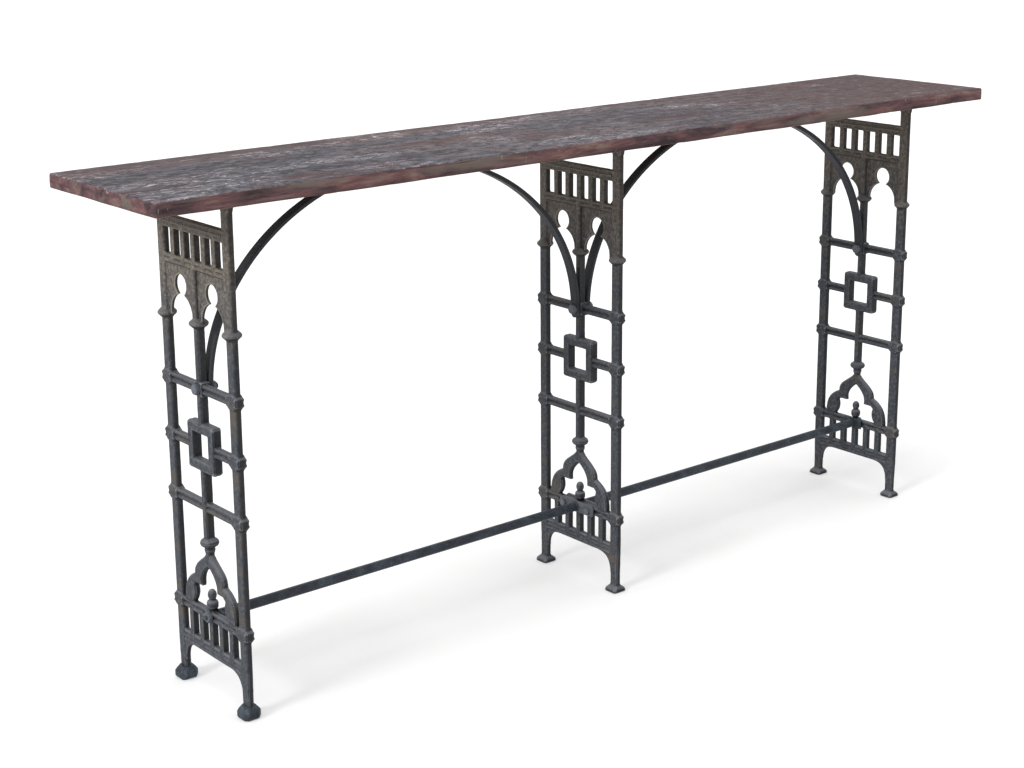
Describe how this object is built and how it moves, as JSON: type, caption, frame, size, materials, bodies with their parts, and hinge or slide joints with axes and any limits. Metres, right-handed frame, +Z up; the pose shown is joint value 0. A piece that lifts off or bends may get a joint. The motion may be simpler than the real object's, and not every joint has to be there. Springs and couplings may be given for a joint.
{
  "type": "console table on cast frames",
  "caption": "Long narrow table with a worn painted plank top on cast-iron tracery frames, curved steel braces and low stretcher rods.",
  "frame": {"origin": "on the floor under the centre of the tabletop", "axes": "+X along the tabletop towards the frame without foot blocks, +Y towards the back long edge, +Z up"},
  "size_m": [1.98, 0.35, 0.9],
  "materials": {
    "cast_iron": "rough cast, old dark paint worn to grey-brown",
    "dark_steel": "blackened bar, satin",
    "fasteners": "blackened, slightly bright on edges",
    "worn_wood": "old slate and red-brown paint, scuffed"
  },
  "bodies": {
    "root": {"brace_bolt_left": "fasteners", "brace_bolt_middle": "fasteners", "brace_bolt_right": "fasteners", "brace_left_rightward": "dark_steel", "brace_middle_leftward": "dark_steel", "brace_middle_rightward": "dark_steel", "brace_nut_left": "fasteners", "brace_nut_middle": "fasteners", "brace_nut_right": "fasteners", "brace_right_leftward": "dark_steel", "brace_screw_left_rightward": "fasteners", "brace_screw_middle_leftward": "fasteners", "brace_screw_middle_rightward": "fasteners", "brace_screw_right_leftward": "fasteners", "cast_frame_left": "cast_iron", "cast_frame_middle": "cast_iron", "cast_frame_right": "cast_iron", "flange_bolt_back": "fasteners", "flange_bolt_front": "fasteners", "flange_nut_back": "fasteners", "flange_nut_front": "fasteners", "foot_block_left_back": "dark_steel", "foot_block_left_front": "dark_steel", "plate_screw_left_back_a": "fasteners", "plate_screw_left_back_b": "fasteners", "plate_screw_left_front_a": "fasteners", "plate_screw_left_front_b": "fasteners", "plate_screw_middle_back_a": "fasteners", "plate_screw_middle_back_b": "fasteners", "plate_screw_middle_front_a": "fasteners", "plate_screw_middle_front_b": "fasteners", "plate_screw_right_back_a": "fasteners", "plate_screw_right_back_b": "fasteners", "plate_screw_right_front_a": "fasteners", "plate_screw_right_front_b": "fasteners", "rod_nut_left": "fasteners", "rod_nut_right": "fasteners", "rod_washer_left": "dark_steel", "rod_washer_right": "dark_steel", "stretcher_rod_left": "dark_steel", "stretcher_rod_right": "dark_steel", "tabletop": "worn_wood", "top_plate_left_back": "dark_steel", "top_plate_left_front": "dark_steel", "top_plate_middle_back": "dark_steel", "top_plate_middle_front": "dark_steel", "top_plate_right_back": "dark_steel", "top_plate_right_front": "dark_steel"}
  },
  "joints": []
}
